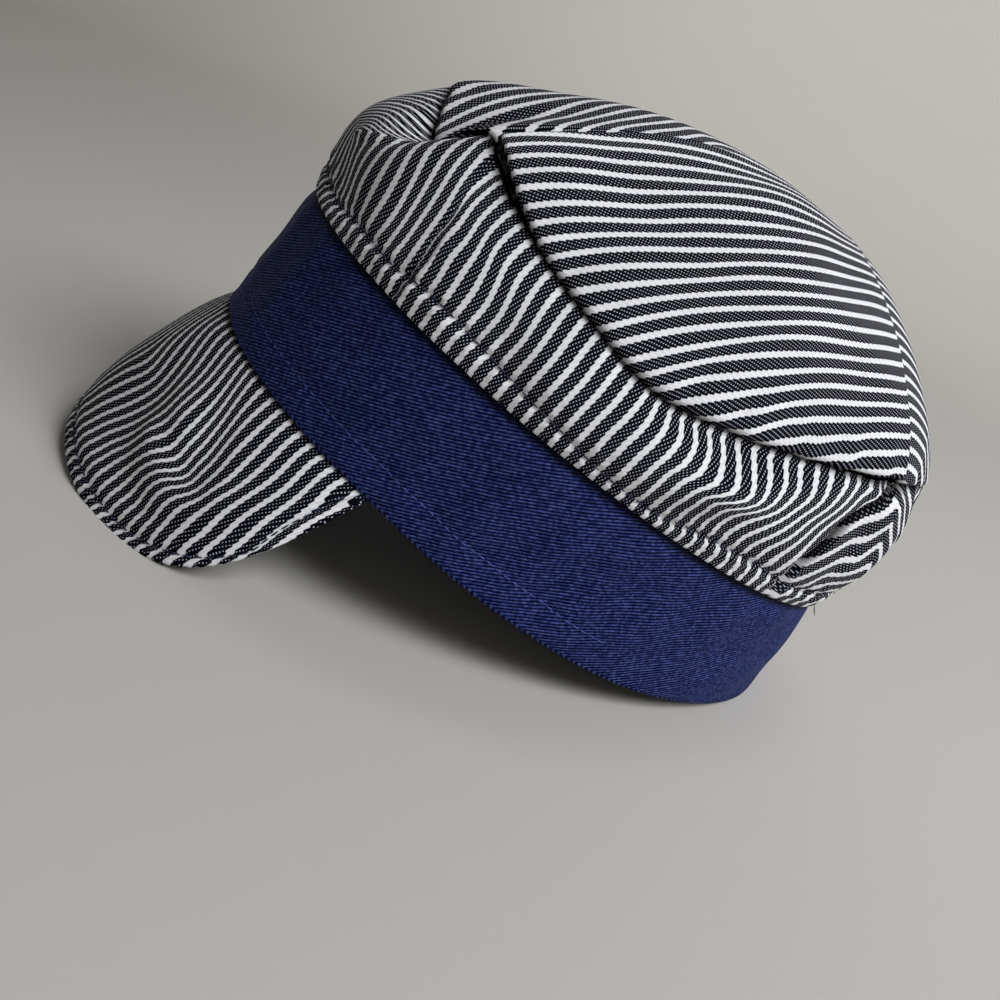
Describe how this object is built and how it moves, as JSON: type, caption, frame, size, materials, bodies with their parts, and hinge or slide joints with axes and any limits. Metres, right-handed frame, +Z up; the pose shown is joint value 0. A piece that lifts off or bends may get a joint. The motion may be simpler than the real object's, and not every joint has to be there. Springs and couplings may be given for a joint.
{
  "type": "conductor cap",
  "caption": "Striped conductor cap with a plain twill band, a soft pleated crown and a short, steep, curved visor.",
  "frame": {"origin": "middle of the cap's outer box, on the surface it rests on", "axes": "+Z up, the wearer faces -Y with the visor in front, the wearer's left is +X; the cap rests tilted back on its visor's edge and the back of its band"},
  "size_m": [0.1714, 0.255, 0.1459],
  "materials": {
    "band_twill": "dark blue cotton twill, slight sheen",
    "crown_stripe": "navy and white hickory stripe, matt woven cotton",
    "visor_stripe": "navy and white hickory stripe over a stiff inner, stitched edge"
  },
  "bodies": {
    "root": {"band": "band_twill", "crown_side": "crown_stripe", "crown_top": "crown_stripe", "visor": "visor_stripe"}
  },
  "joints": []
}
